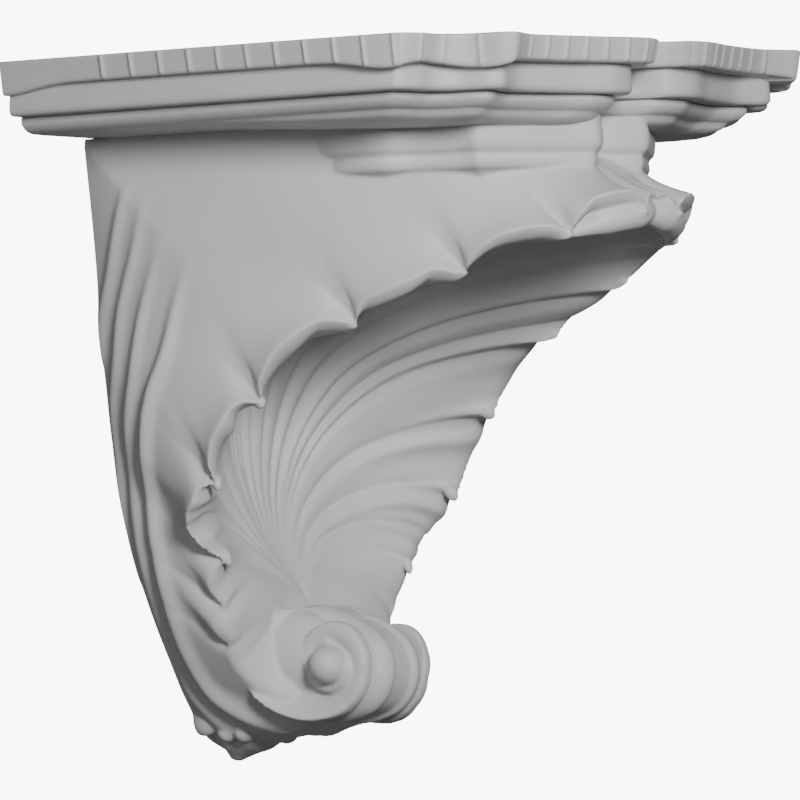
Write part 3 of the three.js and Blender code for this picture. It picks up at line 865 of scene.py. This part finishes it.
@dataclass
class Scroll:
    """The rolled foot of the shell: a drum, two outer wraps, two inner turns and their round eyes."""

    reach: float = 86.0
    drop: float = 300.0
    # Degrees from straight out, upward, and the outer wrap's radius there.
    profile: Pairs = (
        (-90, 26), (-60, 25.5), (-30, 24.5), (0, 23.2), (29, 21.6), (55, 20.6), (75, 21.4), (95, 24.5),
        (112, 30), (129, 41), (150, 46), (180, 44), (215, 36), (270, 26),
    )
    # Half of the drum: millimetres aside, and how much is added to the wrap's radius.
    section: Pairs = (
        (0.0, -1.6), (5.0, -1.5), (7.4, -1.2), (8.4, 0.0), (9.4, 0.6), (12.0, 0.4), (15.0, -0.9),
        (17.6, -3.0), (19.2, -5.6), (20.2, -8.0), (24.0, -9.0), (29.0, -10.5), (33.0, -13.0),
    )
    core: float = 6.0
    # Beyond this distance aside the drum is hidden in the turns, under a radius that tapers.
    hidden_from: float = 19.0
    hidden_radius: float = 30.0
    hidden_taper: float = 0.5
    # Degrees, inner and outer radius, how far aside each of them stands, the dish between and the depth.
    turn: Sequence[tuple[float, ...]] = (
        (92, 20, 25, 8, -4, 0, 6), (108, 20, 29, 15, 6, 0, 8), (124, 19, 36, 23, 18, 1.5, 18),
        (142, 17, 45, 28.5, 38, 3, 24), (160, 13, 48, 28, 49.5, 6, 24),
        (180, 11, 45, 27, 50, 7, 24), (203, 9.5, 40, 26.5, 47.5, 6.5, 22),
        (228, 9.3, 34, 26.5, 41, 3, 17), (259, 9.3, 28, 26.5, 34.5, 0, 10),
        (294, 9.3, 23.5, 26.5, 29.5, -1.6, 7), (340, 9.3, 20, 27, 27.5, -2.2, 5.5),
        (383, 9.3, 20, 28, 28.5, -2.2, 5.5), (424, 9.3, 21.5, 29, 30, -2, 6),
        (460, 9.3, 21.5, 30, 32, -1.6, 7), (495, 9, 19.5, 32, 33.5, -1, 8),
        (533, 8, 15, 34.5, 35, 0.4, 8), (560, 7, 11, 37, 36.5, 0.3, 8),
    )
    edge: float = 0.18
    edge_drop: float = 2.2

    def around(self, across: Places, radius: Places, degrees: Places) -> Places:
        """Points around the scroll's axis.

        Args:
            across: Millimetres from the middle plane.
            radius: Millimetres from the axis.
            degrees: Angles from straight out, upward.

        Returns:
            Points in metres.
        """
        turn = np.radians(degrees)
        return place(across, self.reach + radius * np.cos(turn), self.drop - radius * np.sin(turn))

    def build_drum(self) -> Piece:
        """The drum and its two wraps as one turned body that narrows toward the eyes."""
        around = np.linspace(-90.0, 270.0, 160, endpoint=False)
        wrap = np.interp(around, *np.array(self.profile, float).T)
        wrap = np.convolve(np.r_[wrap[-6:], wrap, wrap[:6]], np.ones(13) / 13, mode="valid")
        full = [(-across, less) for across, less in self.section[:0:-1]] + list(self.section)
        rings = []
        for across, less in full:
            radius = np.maximum(wrap + less, self.core)
            if abs(across) > self.hidden_from:
                radius = np.minimum(radius, self.hidden_radius - self.hidden_taper * abs(across))
            rings.append(self.around(across, radius, around))
        last = self.section[-1][0] + 0.5
        poles = [place(side * last, self.reach, self.drop) for side in SIDES]
        return ring_piece("drum", np.array(rings), *poles)

    def build_turn(self, side: float) -> Piece:
        """The inner turn: a broad dished cheek behind the eye that narrows as it winds around it.

        Args:
            side: 1 for the right turn and -1 for the left one.

        Returns:
            The turn.
        """
        stations = np.array(self.turn, float)
        at = np.linspace(stations[0, 0], stations[-1, 0], 200)
        near, far, near_across, far_across, dish, thick = (
            np.interp(at, stations[:, 0], column)[:, None] for column in stations[:, 1:].T
        )
        share = np.linspace(0.0, 1.0, 26)[None, :]
        radius = near + (far - near) * share
        rounding = 1.0 - np.clip((np.abs(2.0 * share - 1.0) - (1.0 - self.edge)) / self.edge, 0.0, 1.0) ** 2
        level = near_across + (far_across - near_across) * share
        top = level - dish * 4.0 * share * (1.0 - share)
        top -= (1.0 - np.sqrt(np.clip(rounding, 0.0, 1.0))) * self.edge_drop
        outer = self.around(side * top, radius, at[:, None])
        inner = self.around(side * (level - thick), radius, at[:, None])[:, ::-1]
        rings = np.concatenate([outer, inner], axis=1)
        return ring_piece("turn", rings, rings[0].mean(axis=0), rings[-1].mean(axis=0))

    def build(self) -> list[Piece]:
        """Every body of the scroll."""
        eye, cheek = (self.reach + 0.5, self.drop + 0.5), (self.reach - 28.0, self.drop - 6.0)
        pieces = [self.build_drum()]
        for side in SIDES:
            pieces.append(self.build_turn(side))
            pieces.append(ball("eye", (side * 34.0, *eye), (10.0, 9.6, 9.6)))
            pieces.append(ball("cheek", (side * 20.0, *cheek), (17.0, 26.0, 23.0), 0.3))
        return pieces


@dataclass
class Leaf:
    """The small curled leaf that wraps the underside of the scroll and hangs to the foot."""

    # Shares along the blade, its half width and its half height.
    blade: Triples = (
        (0, 20, 18), (0.3, 32, 19), (0.6, 33, 17.5), (0.85, 27, 12.5), (1, 12, 5),
    )
    blade_length: float = 98.0
    blade_drop: float = 318.0
    blade_rise: float = 9.0
    tip_line: Triples = ((0, 30, 322), (0, 20, 328), (0, 10, 335), (0, 5, 343))
    tip_up: tuple[float, float, float] = (0.0, -1.0, 0.2)
    # On each side: across, reach and drop, then three radii and a tilt.
    curls: Sequence[tuple[Sequence[float], Sequence[float], float]] = (
        ((24.0, 5.0, 321.0), (6.5, 8.5, 11.0), 0.3),
        ((20.0, 15.0, 330.0), (7.0, 5.0, 5.5), 0.5),
        ((18.0, 24.0, 330.5), (7.5, 4.6, 5.5), 0.5),
        ((17.0, 40.0, 324.5), (13.0, 13.0, 8.0), 0.25),
        ((11.0, 60.0, 319.0), (11.0, 13.0, 7.0), 0.35),
    )

    def build(self) -> list[Piece]:
        """The leaf's blade, its tip and its curls."""
        share = np.linspace(0.0, 1.0, 60)
        line = place(0.0, -BEHIND + share * self.blade_length, self.blade_drop - self.blade_rise * share**1.5)
        at, width, height = np.array(self.blade, float).T
        width, height = (np.interp(share, at, column) * MM for column in (width, height))
        pieces = [tube("blade", line, width, height, UP, 40)]
        fall = smooth_curve(self.tip_line, 40)
        share = np.linspace(0.0, 1.0, len(fall))
        width = np.interp(share, [0, 0.4, 0.8, 1], [18, 20, 14, 4]) * MM
        depth = np.interp(share, [0, 0.5, 0.8, 1], [10, 10.5, 7, 2]) * MM
        pieces.append(tube("tip", place(*fall.T), width, depth, self.tip_up, 32))
        for side in SIDES:
            for (across, reach, drop), radii, tilt in self.curls:
                pieces.append(ball("curl", (side * across, reach, drop), radii, tilt))
        return pieces


@dataclass(frozen=True)
class Primer:
    """Matte white factory primer on a cast surface: even, with a faint mottle and a fine tooth."""

    name: str = "primer"
    tint: tuple[float, float, float] = (0.47, 0.455, 0.465)
    roughness: float = 0.56
    gloss: float = 0.42
    mottle: tuple[float, float] = (14.0, 4.0)
    speck: tuple[float, float] = (620.0, 2.0)
    tooth: tuple[float, float] = (900.0, 3.0)

    def material(self) -> bpy.types.Material:
        """The primer as a node material on Object coordinates."""
        made = bpy.data.materials.new(self.name)
        made.use_nodes = True
        nodes, links = made.node_tree.nodes, made.node_tree.links
        shader = nodes["Principled BSDF"]
        shader.inputs["Specular IOR Level"].default_value = self.gloss
        where = nodes.new("ShaderNodeTexCoord").outputs["Object"]
        mottle, speck, tooth = (
            self.noise(made.node_tree, where, *values) for values in (self.mottle, self.speck, self.tooth)
        )
        colour = nodes.new("ShaderNodeValToRGB")
        for element, position, strength in zip(colour.color_ramp.elements, (0.3, 0.72), (0.95, 1.04)):
            element.position = position
            element.color = (*[c * strength for c in self.tint], 1.0)
        links.new(mottle.outputs["Fac"], colour.inputs["Fac"])
        links.new(colour.outputs["Color"], shader.inputs["Base Color"])
        rough = nodes.new("ShaderNodeMapRange")
        rough.inputs["To Min"].default_value = self.roughness - 0.06
        rough.inputs["To Max"].default_value = self.roughness + 0.08
        links.new(speck.outputs["Fac"], rough.inputs["Value"])
        links.new(rough.outputs["Result"], shader.inputs["Roughness"])
        bump = nodes.new("ShaderNodeBump")
        bump.inputs["Strength"].default_value = 0.12
        bump.inputs["Distance"].default_value = 0.0002
        links.new(tooth.outputs["Fac"], bump.inputs["Height"])
        links.new(bump.outputs["Normal"], shader.inputs["Normal"])
        return made

    def noise(
        self, tree: bpy.types.NodeTree, where: bpy.types.NodeSocket, scale: float, detail: float
    ) -> bpy.types.Node:
        """A noise node.

        Args:
            tree: The material's node tree.
            where: The coordinates that it reads.
            scale: How fine the noise is.
            detail: How many octaves it has.

        Returns:
            The noise node.
        """
        made = tree.nodes.new("ShaderNodeTexNoise")
        made.inputs["Scale"].default_value = scale
        made.inputs["Detail"].default_value = detail
        tree.links.new(where, made.inputs["Vector"])
        return made


@dataclass
class Casting:
    """Bodies fused into one cast skin, trimmed flat at the wall and thinned where it is plain."""

    name: str
    detail: Detail
    bodies: list[Piece] = field(default_factory=list)
    sharp: float = 50.0

    def apply(self, piece: Piece, kind: str, **settings: object) -> None:
        """Adds one modifier and applies it.

        Args:
            piece: The piece.
            kind: The modifier's type.
            settings: Its settings.
        """
        choose(piece)
        modifier = piece.modifiers.new("work", kind)
        for key, value in settings.items():
            setattr(modifier, key, value)
        bpy.ops.object.modifier_apply(modifier=modifier.name)

    def trim_at_wall(self, piece: Piece) -> None:
        """Cuts away what stands behind the wall face and closes the cut flat."""
        choose(piece)
        bpy.ops.object.mode_set(mode="EDIT")
        bpy.ops.mesh.select_all(action="SELECT")
        bpy.ops.mesh.bisect(plane_co=(0, 0, 0), plane_no=(0, 1, 0), use_fill=True, clear_outer=True)
        bpy.ops.object.mode_set(mode="OBJECT")

    def fuse(self, smoothing: int) -> Piece:
        """Joins the bodies, fuses them and trims the back.

        Args:
            smoothing: How many passes soften the fused skin.

        Returns:
            The finished casting.
        """
        bpy.ops.object.select_all(action="DESELECT")
        for body in self.bodies:
            body.select_set(True)
        bpy.context.view_layer.objects.active = self.bodies[0]
        if len(self.bodies) > 1:
            bpy.ops.object.join()
        piece = self.bodies[0]
        piece.name = self.name
        self.apply(piece, "REMESH", mode="VOXEL", voxel_size=self.detail.voxel, adaptivity=0.0)
        if smoothing:
            self.apply(piece, "SMOOTH", factor=0.5, iterations=smoothing)
        self.trim_at_wall(piece)
        count = sum(len(face.vertices) - 2 for face in piece.data.polygons)
        if count > self.detail.triangles:
            self.apply(piece, "DECIMATE", ratio=self.detail.triangles / count)
        # Thinning can leave a vertex a hair behind the wall face.
        for vertex in piece.data.vertices:
            vertex.co.y = min(vertex.co.y, 0.0)
        LOG.info("%s: %d triangles fused, %d kept", self.name, count, len(piece.data.polygons))
        return smoothed(piece, self.sharp)


@dataclass
class Studio:
    """A pale floor, soft lights and the camera at the photograph's angle."""

    azimuth: float = -55.0
    elevation: float = -3.1
    roll: float = 1.7
    distance: float = 14.0
    frame_width: float = 0.4
    aim: tuple[float, float, float] = (0.0596, -0.0695, -0.0451)
    beam: float = 40.0
    floor_size: float = 8.0
    floor_drop: float = 1.0
    floor_glow: float = 1.0
    ambient: float = 0.13
    glow: float = 9.0
    # Name, place in metres, side in metres and power in watts.
    lights: Sequence[tuple[str, tuple[float, float, float], float, float]] = (
        ("key", (-1.24, -1.63, 0.38), 0.45, 3.0),
        ("side", (-1.7, -0.2, 0.1), 0.7, 0.3),
    )

    def build(self) -> None:
        """Floor, lights, background and camera."""
        bpy.ops.object.select_all(action="DESELECT")
        bpy.ops.mesh.primitive_plane_add(size=self.floor_size, location=(0.0, 0.0, 0.0))
        floor = bpy.context.active_object
        floor.name = "floor"
        floor.data.transform(Matrix.Translation((0.0, 0.0, -self.floor_drop)))
        pale = bpy.data.materials.new("pale_floor")
        pale.use_nodes = True
        shader = pale.node_tree.nodes["Principled BSDF"]
        shader.inputs["Base Color"].default_value = (0.86, 0.86, 0.86, 1.0)
        shader.inputs["Roughness"].default_value = 0.9
        self.brighten(pale.node_tree, shader, "Material Output", "ShaderNodeEmission", self.floor_glow)
        floor.data.materials.append(pale)
        for light in self.lights:
            self.light(*light)
        self.backdrop()
        self.camera()

    def backdrop(self) -> None:
        """A white background that lights the corbel only a little."""
        world = bpy.data.worlds.new("studio")
        world.use_nodes = True
        dim = world.node_tree.nodes["Background"]
        dim.inputs["Color"].default_value = (1.0, 0.985, 0.98, 1.0)
        dim.inputs["Strength"].default_value = self.ambient
        self.brighten(world.node_tree, dim, "World Output", "ShaderNodeBackground", self.glow)
        bpy.context.scene.world = world

    def brighten(
        self, tree: bpy.types.NodeTree, dim: bpy.types.Node, output: str, kind: str, strength: float
    ) -> None:
        """Shows a surface or background pale to the lens while it lights the corbel only a little.

        Args:
            tree: The node tree.
            dim: The node that lights the corbel.
            output: The name of the tree's output node.
            kind: The type of the node that the lens sees.
            strength: How bright the lens sees it.
        """
        white = tree.nodes.new(kind)
        white.inputs["Color"].default_value = (1.0, 1.0, 1.0, 1.0)
        white.inputs["Strength"].default_value = strength
        ray = tree.nodes.new("ShaderNodeLightPath")
        mix = tree.nodes.new("ShaderNodeMixShader")
        tree.links.new(ray.outputs["Is Camera Ray"], mix.inputs["Fac"])
        tree.links.new(dim.outputs[0], mix.inputs[1])
        tree.links.new(white.outputs[0], mix.inputs[2])
        tree.links.new(mix.outputs["Shader"], tree.nodes[output].inputs["Surface"])

    def light(self, name: str, where: tuple[float, float, float], size: float, power: float) -> None:
        """A soft square light that looks at the corbel.

        Args:
            name: The light's name.
            where: Its place in metres.
            size: Its side in metres.
            power: Its power in watts.
        """
        lamp = bpy.data.lights.new(name, "AREA")
        lamp.size = size
        lamp.energy = power
        lamp.spread = math.radians(self.beam)
        holder = bpy.data.objects.new(name, lamp)
        holder.location = where
        holder.rotation_euler = (Vector(self.aim) - Vector(where)).to_track_quat("-Z", "Y").to_euler()
        bpy.context.scene.collection.objects.link(holder)

    def camera(self) -> None:
        """The long lens of the photograph, a little below the shelf and slightly rolled."""
        a, e = math.radians(self.azimuth), math.radians(self.elevation)
        toward = Vector((math.sin(a) * math.cos(e), -math.cos(a) * math.cos(e), math.sin(e)))
        lens = bpy.data.cameras.new("camera")
        lens.sensor_width = 36.0
        lens.lens = 36.0 * self.distance / self.frame_width
        lens.clip_end = 50.0
        holder = bpy.data.objects.new("camera", lens)
        holder.location = Vector(self.aim) + toward * self.distance
        turn = toward.to_track_quat("Z", "Y").to_matrix() @ Matrix.Rotation(math.radians(-self.roll), 3, "Z")
        holder.rotation_euler = turn.to_euler()
        bpy.context.scene.collection.objects.link(holder)
        bpy.context.scene.camera = holder


@dataclass
class Corbel:
    """The whole piece: the rim and the mouldings of the shelf over the fused shell."""

    detail: Detail

    def build(self) -> list[Piece]:
        """The three skins, primed and riding on the root body."""
        shelf = Shelf()
        bodies = [Neck().build(), *Shell().build(), *Scroll().build(), *Leaf().build()]
        lower = Casting("shell", self.detail, bodies)
        pieces = [shelf.build_rim(), shelf.build_mouldings(), lower.fuse(smoothing=2)]
        primer = Primer().material()
        for piece in pieces:
            piece.data.materials.clear()
            piece.data.materials.append(primer)
            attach(piece, "root")
            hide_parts("corbel")
            LOG.info("%s rides on root and replaces corbel", piece.name)
        return pieces


def main() -> None:
    """Builds the studio and the corbel."""
    logging.basicConfig(level=logging.INFO, format="%(name)s: %(message)s")
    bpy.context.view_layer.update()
    Studio().build()
    Corbel(Detail.FULL).build()


if __name__ == "__main__":
    main()
